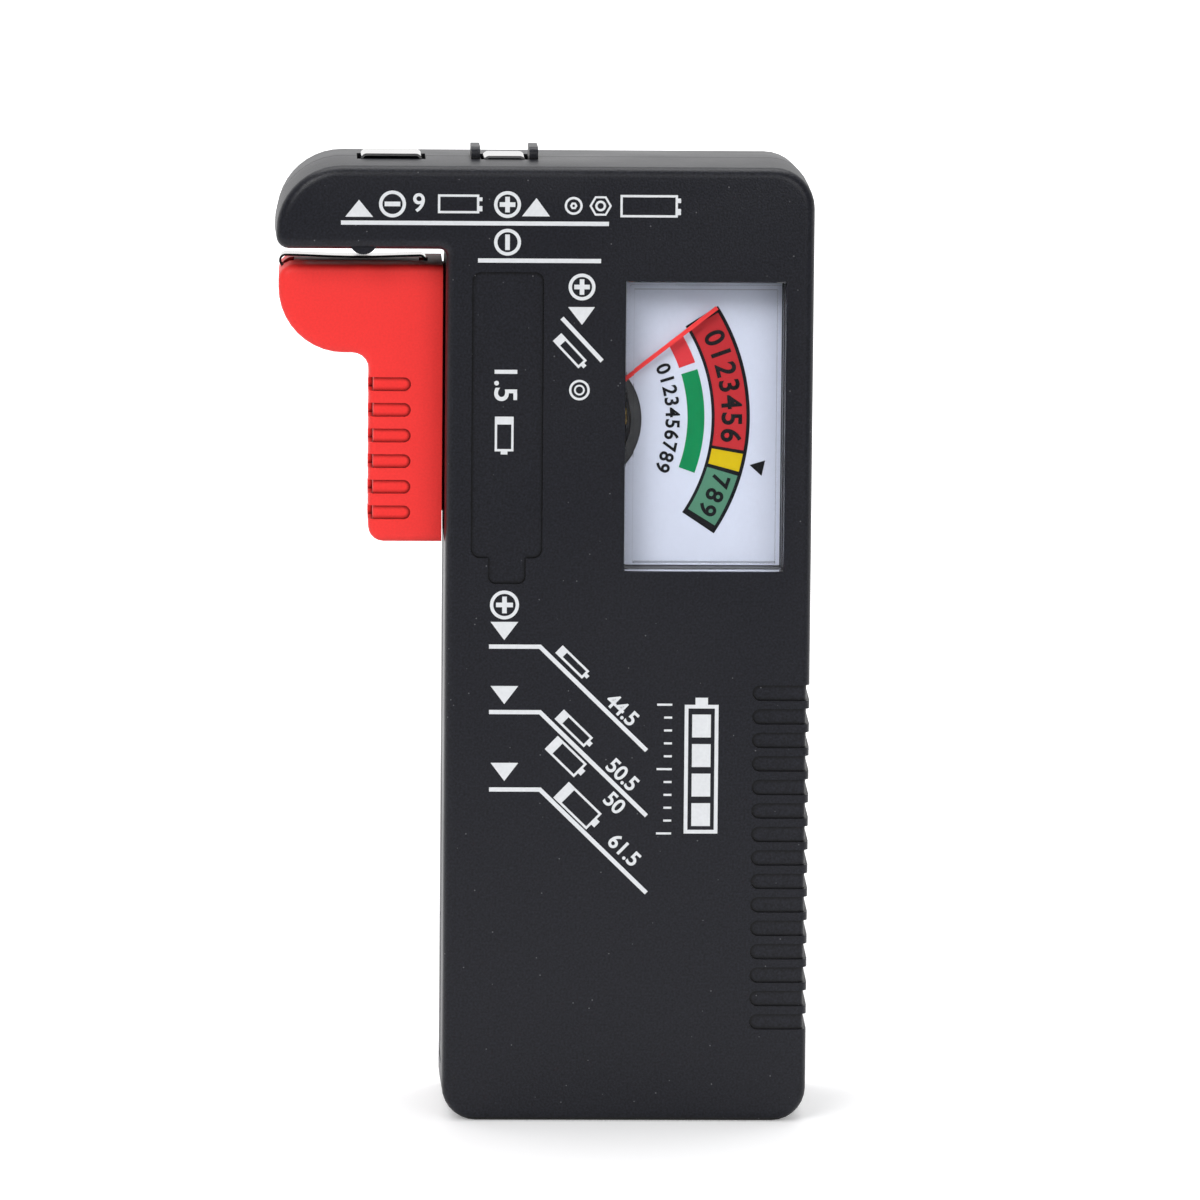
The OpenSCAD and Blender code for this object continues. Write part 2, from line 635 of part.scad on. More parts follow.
module arm_contact() color(NICKEL)
    translate([arm_mid, 0, 0]) {
        slab_y(-strip_w / 2, strip_w / 2)
            mirror([0, 1]) hat_profile(arm_strip_half, -arm_z + 0.2, -arm_foot_z, arm_foot_l);
        // raised button where the cell touches
        intersection() {
            translate([0, 0, arm_z + 1.55]) sphere(r = 2.1);
            block([-3, -3, arm_z - 1], [3, 3, arm_z - 0.15]);
        }
    }

module snap_contact(x, half_w, proud) color(NICKEL)
    translate([x, 0, 0]) slab_y(-snap_window_y + 0.4, snap_window_y - 0.4)
        hat_profile(half_w, body_h + proud, snap_foot_z, snap_foot_l);
module snap_contact_negative() snap_contact(snap_negative, snap_half[0], 0.5);
module snap_contact_positive() snap_contact(snap_positive, snap_half[1], 0.3);

// ---- Slide jaw ----

jaw_side = -run + track_d - 0.05;   // the jaw's face towards the case
jaw_edge_r = 0.9;
jaw_corners = [
    [[2, jaw_low], [-1, 1], 0.3, -90, 90],
    [[2, jaw_top], [-1, -1], 0.3, 0, 90],
    [[-jaw_l, jaw_top], [1, -1], 1.8, 90, 90],
    [[-jaw_l, jaw_top - 10.05], [1, 1], nose_r, 180, 90],
    [[-jaw_grip_w, jaw_top - 10.05], [1, 1], 1.8, 90, -90],
    [[-jaw_grip_w, jaw_low], [1, 1], 1.8, 180, 90]];

function flipped(rings) = [for (i = [len(rings) - 1:-1:0]) [for (p = rings[i]) [p[0], -p[1], p[2]]]];
module jaw_skin(inset) {
    half = edge_rings(jaw_corners, jaw_d / 2, inset, jaw_edge_r, 0.5, 4);
    loft(concat(flipped(half), half));
}

strip_rise = 0.38;                 // free height of the strip above the jaw
strip_z = jaw_top + strip_rise + strip_t;
curl_r = 0.5;
curl_x = -jaw_l + curl_r + strip_t + 0.1;
strip_end = -1.9;
leg_low = tongue_top - 3.9;
notch_low = jaw_low + 3.4;         // centre of the lowest notch
notch_x = -3.67;                   // inner end of the notches
notch_spine = 2.5;                 // half depth of the rib left between front and rear notches

module notch_slots()
    for (i = [0:notch_n - 1], s = [-1, 1]) {
        z = notch_low + i * notch_pitch;
        y0 = s > 0 ? notch_spine : -jaw_d / 2 - 1;
        y1 = s > 0 ? jaw_d / 2 + 1 : -notch_spine;
        rod_y([notch_x - notch_h / 2, z], notch_h / 2, y0, y1);
        block([-jaw_grip_w - 1, y0, z - notch_h / 2], [notch_x - notch_h / 2, y1, z + notch_h / 2]);
    }

module slide_jaw() color(RED)
    difference() {
        union() {
            one_mesh() intersection() {
                union() {
                    difference() {
                        jaw_skin(0);
                        notch_slots();
                    }
                    jaw_skin(notch_d);
                }
                block([-jaw_l - 1, -jaw_d, jaw_low - 1], [jaw_side, jaw_d, jaw_top + 1]);
            }
            // tongue through the case's slot, and the foot behind it
            block([jaw_side - 0.5, -tongue_half, tongue_low], [foot_x[0] + 0.1, tongue_half, tongue_top]);
            block([foot_x[0], -foot_half, tongue_low], [foot_x[1], foot_half, tongue_top]);
        }
        // cored out from the case side, on both sides of the web
        for (s = [-1, 1]) block([-jaw_grip_w + 1.9, s > 0 ? 2 : -jaw_d / 2 + 1.7, jaw_low + 1.8],
                                [jaw_side + 1, s > 0 ? jaw_d / 2 - 1.7 : -2, jaw_top - 6.6]);
        // the strip's curl, its leg and its tail
        rod_y([curl_x, strip_z - curl_r - strip_t], curl_r + strip_t + 0.2,
              -jaw_strip_w / 2 - 0.3, jaw_strip_w / 2 + 0.3);
        block([curl_x, -jaw_strip_w / 2 - 0.3, strip_z - 2 * curl_r - 2 * strip_t - 0.15],
              [curl_x + 1.8, jaw_strip_w / 2 + 0.3, strip_z - 2 * curl_r - strip_t + 0.1]);
        block([strip_end - strip_t - 0.6, -jaw_strip_w / 2 - 0.2, leg_low - 0.15],
              [strip_end + 0.15, jaw_strip_w / 2 + 0.2, jaw_top + 1]);
        block([strip_end - 1, -1, leg_low - 0.15], [foot_x[1] + 1, 1, leg_low + strip_t + 0.15]);
    }

// The strip sags a little between its ends.
sag = 0.2;
function strip_top(x) =
    let (mid = (curl_x + strip_end) / 2, half = (strip_end - curl_x) / 2, u = (x - mid) / half)
    strip_z - sag * pow(1 - u * u, 2);
tag_x = [foot_x[1] + 0.05, foot_x[1] + 0.05 + strip_t];
tag_low = tongue_low + 0.6;
tag_arm_h = 3.6;
hook_hole_z = tag_low + 1.8;
spring_y = 7.6;
spring_x = tag_x[0] + 0.45;

module slide_contact() color(NICKEL) {
    left = curl_x;
    right = strip_end - 0.8;
    steps = 14;
    difference() {
        union() {
            slab_y(-jaw_strip_w / 2, jaw_strip_w / 2) {
                polygon(concat(
                    [for (i = [0:steps]) let (x = left + (right - left) * i / steps) [x, strip_top(x)]],
                    [for (i = [steps:-1:0]) let (x = left + (right - left) * i / steps) [x, strip_top(x) - strip_t]]));
                // curl round the nose
                bend([curl_x, strip_z - curl_r - strip_t], curl_r, strip_t, -1, 1);
                bend([curl_x, strip_z - curl_r - strip_t], curl_r, strip_t, -1, -1);
                translate([curl_x, strip_z - 2 * curl_r - 2 * strip_t]) square([1.5, strip_t]);
                // bend down into the jaw
                bend([right, strip_z - 0.8], 0.8 - strip_t, strip_t, 1, 1);
                translate([strip_end - strip_t, leg_low]) square([strip_t, strip_z - 0.8 - leg_low]);
            }
            // tail through the tongue, and the tag on the foot that holds the spring
            block([strip_end - strip_t, -0.9, leg_low], [tag_x[1], 0.9, leg_low + strip_t]);
            block([tag_x[0], -0.9, tag_low], [tag_x[1], 0.9, leg_low + strip_t]);
            block([tag_x[0], -0.9, tag_low], [tag_x[1], spring_y + 1.4, tag_low + tag_arm_h]);
        }
        translate([tag_x[0] - 1, spring_y, hook_hole_z]) rotate([0, 90, 0]) cylinder(r = 0.65, h = 3);
    }
}

// ---- Return spring ----

spring_hook_z = arm_z + 3.2;
peg_r = 0.95;
peg_at = [spring_x, spring_hook_z + 0.15];
lower_hook_z = hook_hole_z + spring_r;
coil_low = lower_hook_z + 2.6;
coil_high = spring_hook_z - 2.4;
spring_path = concat(
    [for (a = [120:20:360]) [spring_x + spring_r * cos(a), spring_y, lower_hook_z + spring_r * sin(a)]],
    [for (i = [0:10 * spring_turns]) let (a = 36 * i)
        [spring_x + spring_r * cos(a), spring_y + spring_r * sin(a),
         coil_low + (coil_high - coil_low) * i / (10 * spring_turns)]],
    [for (a = [0:20:240]) [spring_x + spring_r * cos(a), spring_y, spring_hook_z + spring_r * sin(a)]]);
module return_spring() color(NICKEL) tube(spring_path, spring_wire_r, 6, [0, 1, 0]);

// A solder tag on the spring's peg.
tag_y = [spring_y + 0.4, spring_y + 0.8];
module spring_tag() color(BRASS)
    difference() {
        union() {
            rod_y(peg_at, 1.9, tag_y[0], tag_y[1]);
            block([peg_at[0], tag_y[0], peg_at[1] - 1.3], [peg_at[0] + 5.4, tag_y[1], peg_at[1] + 1.3]);
        }
        rod_y(peg_at, peg_r + 0.05, tag_y[0] - 1, tag_y[1] + 1);
    }

// ---- Resistors and leads ----

// An axial resistor along Z: body, end beads and straight leads from z0 to z1.
module resistor(x, z0, z1, body_z) color([0.82, 0.72, 0.52])
    translate([x, lead_hole_y, 0]) {
        translate([0, 0, z0]) cylinder(r = 0.32, h = z1 - z0);
        translate([0, 0, body_z - 3.1]) cylinder(r = 0.95, h = 6.2);
        for (z = [-3.3, 1.7]) translate([0, 0, body_z + z]) cylinder(r = 1.12, h = 1.6);
    }
resistor_x = [terminal_at[0][0] - terminal_hole_x, terminal_at[0][0] + terminal_hole_x];
resistor_low = terminal_at[0][1] - 0.9;
resistor_high = terminal_at[0][1] + 17;
module range_resistor() resistor(resistor_x[0], resistor_low, resistor_high, resistor_low + 9);
module snap_resistor() resistor(resistor_x[1], resistor_low, resistor_high, resistor_low + 10.5);

// The load resistor lies in the arm, between the arm's contact and the spring's tag.
load_y = -6.6;
load_z = arm_z + wall + 2.25;
load_wire = [arm_mid - 5.4, spring_x + 3];
load_wire_y = -1;
// A piece of wire along X.
module rod_x(y, z, r, x0, x1) translate([x0, y, z]) rotate([0, 90, 0]) cylinder(r = r, h = x1 - x0);
module load_resistor() color([0.35, 0.45, 0.6]) {
    rod_x(load_y, load_z, 0.4, load_wire[0], load_wire[1]);
    rod_y([load_wire[0], load_z], 0.38, load_y, load_wire_y);
    rod_y([load_wire[1], load_z], 0.38, load_y, tag_y[0] - 0.04);
    translate([load_wire[0], load_wire_y, arm_z + 0.2]) cylinder(r = 0.36, h = load_z - arm_z - 0.2);
    for (p = [[load_wire[0], load_y], [load_wire[1], load_y], [load_wire[0], load_wire_y]])
        translate([p[0], p[1], load_z]) sphere(r = 0.44);
    rod_x(load_y, load_z, 1.5, arm_mid - 3.4, arm_mid + 6);
    for (x = [-3.6, 4.2]) rod_x(load_y, load_z, 1.75, arm_mid + x, arm_mid + x + 2);
}

// Leads: ends are set by the pieces they join, and the points between are placed clear of the rest.
lead_r = 0.55;
BLACK = [0.1, 0.1, 0.1];
module lead(points, shade) color(shade) tube(smooth(points, 4), lead_r, 8, [0, 1, 0.2]);
coil_end = terminal_at[1][1] + terminal_t / 2 + 0.04;
resistor_end = resistor_high + 0.04;
module negative_lead() lead([
    [arm_foot_x[1], 0, arm_foot_z + strip_t + 0.04], [arm_foot_x[1] + 0.5, 0, arm_z + 3.8], [3, 0.3, arm_z + 4.1],
    [10, -1, arm_z + 1.8], [17, -1.5, arm_z - 1.2], [resistor_x[0] - 3.7, -0.5, coil_end + 4],
    [resistor_x[0], lead_hole_y, coil_end + 2.2], [resistor_x[0], lead_hole_y, coil_end]], BLACK);
module snap_negative_lead() lead([
    [snap_foot_x[1], 0, snap_foot_z - strip_t - 0.1], [snap_foot_x[1], 0, snap_foot_z - strip_t - 1.2],
    [snap_foot_x[1] + 0.6, 0.7, snap_foot_z - 2.25], [1.5, 2, snap_foot_z - 2.3], [4, 2.9, snap_foot_z - 2.25],
    [7, 3.3, snap_foot_z - 2.25], [10, 3.7, snap_foot_z - 2.7], [17, 4.6, body_h - 8.5],
    [resistor_x[1] - 5.3, 4.5, coil_end + 4.9], [resistor_x[1], 3, coil_end + 3.4],
    [resistor_x[1], lead_hole_y, coil_end + 1.7], [resistor_x[1], lead_hole_y, coil_end]], BLACK);
module positive_lead() lead([
    [peg_at[0] + 4.5, tag_y[0] - 0.04, peg_at[1] - 0.5], [peg_at[0] + 4.7, 6.5, peg_at[1] - 0.7],
    [10.4, 6.6, arm_z - 1.2], [16, 6, pivot[1] + 12.4], [resistor_x[0] - 4.7, 3.6, resistor_end + 4.8],
    [resistor_x[0] - 1.2, 2, resistor_end + 2.7], [resistor_x[0], lead_hole_y, resistor_end + 1.3],
    [resistor_x[0], lead_hole_y, resistor_end]], [0.8, 0.1, 0.1]);
module snap_positive_lead() lead([
    [snap_foot_x[3], 0, snap_foot_z - strip_t - 0.04], [snap_foot_x[3] + 0.2, 0.3, body_h - 4],
    [13, 2, arm_z + 1.3], [18, 5.2, arm_z - 3.7], [resistor_x[1] - 5.3, 5.5, resistor_end + 6.4],
    [resistor_x[1], 3.4, resistor_end + 3.4], [resistor_x[1], lead_hole_y, resistor_end + 1.5],
    [resistor_x[1], lead_hole_y, resistor_end]], [0.8, 0.1, 0.1]);

module placed() translate([-seam_shift, 0, 0]) children();

placed() front_shell();
placed() rear_shell();
placed() case_screws();
placed() window();
placed() meter_frame();
placed() dial_plate();
placed() dial_screws();
placed() meter_yoke();
placed() core_magnet();
placed() core_spacers();
placed() front_bridge();
placed() rear_bridge();
placed() front_jewel_screw();
placed() rear_jewel_screw();
placed() meter_terminals();
placed() moving_coil();
placed() coil_former();
placed() pivot_staffs();
placed() pointer();
placed() balance_weight();
placed() hairsprings();
placed() arm_contact();
placed() snap_contact_negative();
placed() snap_contact_positive();
placed() slide_jaw();
placed() slide_contact();
placed() return_spring();
placed() spring_tag();
placed() load_resistor();
placed() range_resistor();
placed() snap_resistor();
placed() negative_lead();
placed() snap_negative_lead();
placed() positive_lead();
placed() snap_positive_lead();
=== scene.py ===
"""The looks of an analogue battery tester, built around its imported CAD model."""

import math

import bmesh
import bpy
from mathutils import Matrix, Vector

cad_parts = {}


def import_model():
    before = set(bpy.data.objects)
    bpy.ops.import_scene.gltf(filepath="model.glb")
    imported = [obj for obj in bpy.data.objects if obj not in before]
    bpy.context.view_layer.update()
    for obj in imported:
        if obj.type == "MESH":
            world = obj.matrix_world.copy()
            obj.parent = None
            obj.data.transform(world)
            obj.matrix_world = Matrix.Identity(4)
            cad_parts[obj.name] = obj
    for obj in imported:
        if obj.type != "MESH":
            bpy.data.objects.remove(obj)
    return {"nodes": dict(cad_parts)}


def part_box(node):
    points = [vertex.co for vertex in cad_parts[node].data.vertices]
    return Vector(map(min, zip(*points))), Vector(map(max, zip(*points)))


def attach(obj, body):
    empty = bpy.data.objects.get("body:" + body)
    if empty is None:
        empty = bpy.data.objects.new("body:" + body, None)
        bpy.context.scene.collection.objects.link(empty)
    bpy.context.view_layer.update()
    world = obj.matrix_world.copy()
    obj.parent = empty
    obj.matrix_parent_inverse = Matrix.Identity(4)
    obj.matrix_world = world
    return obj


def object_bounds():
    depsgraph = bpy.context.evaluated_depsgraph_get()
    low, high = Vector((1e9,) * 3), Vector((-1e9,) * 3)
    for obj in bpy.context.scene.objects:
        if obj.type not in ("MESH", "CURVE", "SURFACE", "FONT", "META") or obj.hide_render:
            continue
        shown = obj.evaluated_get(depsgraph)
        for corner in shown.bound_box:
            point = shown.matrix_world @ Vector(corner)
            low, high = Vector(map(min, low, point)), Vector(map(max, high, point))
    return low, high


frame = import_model()
cad_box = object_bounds()
nodes = frame["nodes"]
MM = 0.001

# ---- Places, in metres, read from the frame ----

front_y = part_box("front_shell")[0].y
seam_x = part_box("slide_jaw")[0].x + 18.6 * MM      # the case body's left side
dial_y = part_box("dial_plate")[0].y


def local(x, z):
    """A point on the front, from millimetres right of the body's left side and above its foot."""
    return (seam_x + x * MM, z * MM)


# ---- Node helpers ----

def new_material(name):
    mat = bpy.data.materials.new(name)
    mat.use_nodes = True
    tree = mat.node_tree
    return mat, tree, tree.nodes["Principled BSDF"]


def add(tree, kind, inputs=None, **props):
    node = tree.nodes.new(kind)
    for key, value in props.items():
        setattr(node, key, value)
    for key, value in (inputs or {}).items():
        if isinstance(value, bpy.types.NodeSocket):
            tree.links.new(value, node.inputs[key])
        else:
            node.inputs[key].default_value = value
    return node


def noise(tree, scale, detail=2.0, stretch=(1, 1, 1)):
    """Noise in object space. scale is in features per metre."""
    coords = add(tree, "ShaderNodeTexCoord").outputs["Object"]
    mapping = add(tree, "ShaderNodeMapping", {"Vector": coords, "Scale": stretch})
    inputs = {"Vector": mapping.outputs[0], "Scale": scale, "Detail": detail}
    return add(tree, "ShaderNodeTexNoise", inputs).outputs["Fac"]


def spread(tree, value, low, high, start=0.3, end=0.7):
    """Maps a value from start to end onto low to high, held beyond both."""
    inputs = {"Value": value, "From Min": start, "From Max": end, "To Min": low, "To Max": high}
    return add(tree, "ShaderNodeMapRange", inputs).outputs["Result"]


def shades(tree, value, dark, light, start=0.3, end=0.7):
    """A colour between dark and light, by a value from start to end."""
    ramp = add(tree, "ShaderNodeValToRGB", {"Fac": value})
    first, last = ramp.color_ramp.elements
    first.position, last.position = start, end
    first.color, last.color = (*dark, 1), (*light, 1)
    return ramp.outputs["Color"]


def bump(tree, bsdf, height, distance):
    node = add(tree, "ShaderNodeBump", {"Height": height, "Distance": distance, "Strength": 1.0})
    tree.links.new(node.outputs["Normal"], bsdf.inputs["Normal"])


def calc(tree, operation, a, b):
    return add(tree, "ShaderNodeMath", {0: a, 1: b}, operation=operation).outputs[0]


def darker(colour, k):
    return tuple(c * k for c in colour)


# ---- Materials ----

DUST_CELLS = 600.0            # cells per metre that can each hold a speck
CREASE_REACH = 0.5 * MM       # how far a corner's shade reaches


def dust(tree, colour, speck):
    """Sparse specks of dust, about a sixth of a millimetre wide, over a colour."""
    coords = add(tree, "ShaderNodeTexCoord").outputs["Object"]
    cells = add(tree, "ShaderNodeTexVoronoi", {"Vector": coords, "Scale": DUST_CELLS}).outputs["Distance"]
    amount = spread(tree, cells, 1.0, 0.0, 0.03, 0.06)
    mix = add(tree, "ShaderNodeMix", {"Factor": amount}, data_type="RGBA")
    tree.links.new(colour, mix.inputs["A"])
    mix.inputs["B"].default_value = (*speck, 1)
    return mix.outputs["Result"]


def crease_shade_factor(tree, share):
    """A factor for painted shade, which falls from 1 to a share in the inner corners, where little light
    reaches.
    """
    reach = add(tree, "ShaderNodeAmbientOcclusion", {"Distance": CREASE_REACH}, samples=8).outputs["AO"]
    return spread(tree, reach, share, 1.0, 0.5, 0.95)


def moulded(name, colour, rough, grain=2200, depth=0.000012, vary=0.08, shine=0.5):
    """Moulded plastic: a fine eroded grain in colour and height, and slow changes of gloss."""
    mat, tree, bsdf = new_material(name)
    bsdf.inputs["Specular IOR Level"].default_value = shine
    fine = noise(tree, grain, 3)
    shade = shades(tree, fine, darker(colour, 1 - vary), darker(colour, 1 + vary))
    tree.links.new(shade, bsdf.inputs["Base Color"])
    tree.links.new(spread(tree, noise(tree, 60, 3), rough - 0.04, rough + 0.04), bsdf.inputs["Roughness"])
    bump(tree, bsdf, fine, depth)
    return mat


def paint_crease_shade_and_dust(mat, share, speck=None):
    """Paints shade into a plastic's inner corners by darkening its base colour, and can add dust."""
    tree, bsdf = mat.node_tree, mat.node_tree.nodes["Principled BSDF"]
    shade = bsdf.inputs["Base Color"].links[0].from_socket
    inputs = {0: shade, "Scale": crease_shade_factor(tree, share)}
    shade = add(tree, "ShaderNodeVectorMath", inputs, operation="SCALE").outputs[0]
    tree.links.new(dust(tree, shade, speck) if speck else shade, bsdf.inputs["Base Color"])
    return mat


def metal(name, colour, rough, stretch=(1, 1, 1), grain=900, depth=0.000004):
    """Bare or plated metal with faint drawing lines along one direction."""
    mat, tree, bsdf = new_material(name)
    bsdf.inputs["Metallic"].default_value = 1.0
    lines = noise(tree, grain, 4, stretch)
    tree.links.new(shades(tree, noise(tree, 180, 2), darker(colour, 0.9), colour), bsdf.inputs["Base Color"])
    tree.links.new(spread(tree, lines, rough * 0.8, rough * 1.25), bsdf.inputs["Roughness"])
    bump(tree, bsdf, lines, depth)
    return mat


def painted(name, colour, rough=0.5, vary=0.03, depth=0.000003):
    """Flat paint or ink with a faint tooth."""
    mat, tree, bsdf = new_material(name)
    fine = noise(tree, 3000, 2)
    tree.links.new(shades(tree, fine, darker(colour, 1 - vary), colour), bsdf.inputs["Base Color"])
    bsdf.inputs["Roughness"].default_value = rough
    bsdf.inputs["Specular IOR Level"].default_value = 0.08
    bump(tree, bsdf, fine, depth)
    return mat


def clear_plastic():
    mat, tree, bsdf = new_material("clear_acrylic")
    bsdf.inputs["Base Color"].default_value = (0.97, 0.985, 1.0, 1)
    bsdf.inputs["Transmission Weight"].default_value = 1.0
    bsdf.inputs["IOR"].default_value = 1.4
    bsdf.inputs["Specular IOR Level"].default_value = 0.22
    tree.links.new(spread(tree, noise(tree, 90, 2), 0.0, 0.012), bsdf.inputs["Roughness"])
    return mat


def winding():
    """Enamelled copper wire, wound in close turns that lie side by side along X."""
    mat, tree, bsdf = new_material("copper_winding")
    coords = add(tree, "ShaderNodeTexCoord").outputs["Object"]
    turns_in = {"Vector": coords, "Scale": 2400.0, "Distortion": 0.4}
    turns = add(tree, "ShaderNodeTexWave", turns_in, bands_direction="X")
    bsdf.inputs["Metallic"].default_value = 0.7
    bsdf.inputs["Roughness"].default_value = 0.35
    copper = shades(tree, turns.outputs["Fac"], (0.2, 0.06, 0.02), (0.6, 0.24, 0.1))
    tree.links.new(copper, bsdf.inputs["Base Color"])
    bump(tree, bsdf, turns.outputs["Fac"], 0.00002)
    return mat


def resistor(name, body, bands, low, pitch, axis="Z"):
    """A lacquered resistor body with colour bands placed along an axis, in metres."""
    mat, tree, bsdf = new_material(name)
    coords = add(tree, "ShaderNodeTexCoord").outputs["Object"]
    along = add(tree, "ShaderNodeSeparateXYZ", {"Vector": coords}).outputs[axis]
    steps = len(bands) * 2 + 1
    ramp = add(tree, "ShaderNodeValToRGB", {"Fac": spread(tree, along, 0.0, 1.0, low, low + pitch * steps)})
    ramp.color_ramp.interpolation = "CONSTANT"
    stops = ramp.color_ramp.elements
    stops[0].color = (*body, 1)
    stops[1].position, stops[1].color = 0.995, (*body, 1)
    for i, band in enumerate(bands):
        stops.new((2 * i + 1) / steps).color = (*band, 1)
        stops.new((2 * i + 2) / steps).color = (*body, 1)
    tree.links.new(ramp.outputs["Color"], bsdf.inputs["Base Color"])
    bsdf.inputs["Roughness"].default_value = 0.3
    bump(tree, bsdf, noise(tree, 1500, 2), 0.000006)
    return mat


# both plastics get painted shade in their inner corners; the case also gets dust specks
CASE = paint_crease_shade_and_dust(moulded("black_abs", (0.0098, 0.0104, 0.0155), 0.36,
                    grain=4200, depth=0.00003, vary=0.5, shine=0.3), 0.0, (0.11, 0.11, 0.12))
JAW = paint_crease_shade_and_dust(moulded("red_abs", (0.98, 0.044, 0.04), 0.44,
                   grain=4000, depth=0.000012, vary=0.04, shine=0.22), 0.25)
FRAME = moulded("dark_abs", (0.03, 0.03, 0.033), 0.5)
CLEAR = clear_plastic()
# a near-black metal for the strips' cut edges, as painted shade
EDGE_SHADE = metal("strip_edge_painted_shade", (0.03, 0.03, 0.032), 0.4)
NICKEL = metal("nickel_strip", (0.84, 0.83, 0.81), 0.07, stretch=(0.05, 1, 1), depth=0.000002)
STEEL = metal("zinc_steel", (0.62, 0.62, 0.61), 0.3)
BRASS = metal("plain_brass", (0.75, 0.55, 0.24), 0.28)
IRON = metal("grey_iron", (0.2, 0.2, 0.21), 0.45, grain=500, depth=0.00001)
ALUMINIUM = metal("thin_aluminium", (0.8, 0.8, 0.82), 0.3)
COPPER = winding()
DIAL = painted("dial_white", (0.568, 0.596, 0.7), 0.55)
INK = painted("white_ink", (0.8, 0.82, 0.845), 0.5, vary=0.06)
BLACK_INK = painted("black_ink", (0.006, 0.006, 0.008), 0.5)
RED_INK = painted("scale_red", (0.445, 0.023, 0.028), 0.5)
BRIGHT_RED_INK = painted("scale_bright_red", (0.6, 0.037, 0.046), 0.5)
YELLOW_INK = painted("scale_yellow", (0.57, 0.41, 0.003), 0.5)
GREEN_INK = painted("scale_green", (0.003, 0.204, 0.066), 0.5)
SAGE_INK = painted("scale_sage", (0.076, 0.21, 0.135), 0.5)
NEEDLE = painted("needle_red", (0.78, 0.045, 0.045), 0.4)
PVC_BLACK = moulded("pvc_black", (0.015, 0.015, 0.016), 0.4)
PVC_RED = moulded("pvc_red", (0.5, 0.02, 0.02), 0.4)
range_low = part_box("range_resistor")[0].z
BLUE_BODY = resistor("load_body", (0.1, 0.25, 0.5),
                     [(0.4, 0.1, 0.02), (0.01, 0.01, 0.01), (0.01, 0.01, 0.01)],
                     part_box("load_resistor")[0].x + 6 * MM, 0.9 * MM, "X")
TAN_BODY = resistor("range_body", (0.55, 0.4, 0.22), [(0.3, 0.1, 0.02), (0.5, 0.02, 0.02), (0.6, 0.25, 0.02)],
                    range_low + 6.4 * MM, 0.7 * MM)

node_materials = {
    "front_shell": CASE, "rear_shell": CASE, "case_screws": STEEL, "window": CLEAR, "meter_frame": FRAME,
    "dial_plate": DIAL, "dial_screws": BRASS, "meter_yoke": IRON, "core_magnet": IRON, "core_spacers": BRASS,
    "front_bridge": BRASS, "rear_bridge": BRASS, "front_jewel_screw": BRASS, "rear_jewel_screw": BRASS,
    "meter_terminals": BRASS, "moving_coil": COPPER, "coil_former": ALUMINIUM, "pivot_staffs": STEEL,
    "pointer": NEEDLE, "balance_weight": BRASS, "hairsprings": BRASS, "arm_contact": NICKEL,
    "snap_contact_negative": NICKEL, "snap_contact_positive": NICKEL, "slide_jaw": JAW,
    "slide_contact": NICKEL, "return_spring": STEEL, "spring_tag": BRASS, "load_resistor": BLUE_BODY,
    "range_resistor": TAN_BODY, "snap_resistor": TAN_BODY, "negative_lead": PVC_BLACK,
    "snap_negative_lead": PVC_BLACK,
    "positive_lead": PVC_RED, "snap_positive_lead": PVC_RED,
}


# ---- Shading of the CAD nodes ----

def smooth_group(angle):
    """A node group that merges the mesh's doubled points and keeps edges sharper than angle."""
    tree = bpy.data.node_groups.new("smooth_by_angle", "GeometryNodeTree")
    tree.interface.new_socket("Geometry", in_out="INPUT", socket_type="NodeSocketGeometry")
    tree.interface.new_socket("Geometry", in_out="OUTPUT", socket_type="NodeSocketGeometry")
    start = tree.nodes.new("NodeGroupInput").outputs[0]
    merged = add(tree, "GeometryNodeMergeByDistance", {"Geometry": start, "Distance": 2e-6}).outputs[0]
    faces = add(tree, "GeometryNodeSetShadeSmooth",
                {"Geometry": merged, "Shade Smooth": True}, domain="FACE").outputs[0]
    turn = add(tree, "GeometryNodeInputMeshEdgeAngle").outputs["Unsigned Angle"]
    sharp = add(tree, "FunctionNodeCompare", data_type="FLOAT", operation="GREATER_THAN")
    tree.links.new(turn, sharp.inputs[0])
    sharp.inputs[1].default_value = angle
    inputs = {"Geometry": faces, "Selection": sharp.outputs[0], "Shade Smooth": False}
    edges = add(tree, "GeometryNodeSetShadeSmooth", inputs, domain="EDGE").outputs[0]
    end = tree.nodes.new("NodeGroupOutput")
    tree.links.new(edges, end.inputs[0])
    return tree


SMOOTH = smooth_group(math.radians(28))


def dress(obj, mat):
    obj.data.materials.clear()
    obj.data.materials.append(mat)
    mod = obj.modifiers.new("smooth", "NODES")
    mod.node_group = SMOOTH


for name, mat in node_materials.items():
    dress(nodes[name], mat)
nodes["window"].visible_shadow = False


def shade_cut_edges(obj):
    """Paints shade on a strip's cut edges, which face along Y, with a near-black metal."""
    obj.data.materials.append(EDGE_SHADE)
    for face in obj.data.polygons:
        if abs(face.normal.y) > 0.9:
            face.material_index = 1


shade_cut_edges(nodes["slide_contact"])


# ---- Flat marks: outlines in the XZ plane, given in metres, raised towards -Y ----

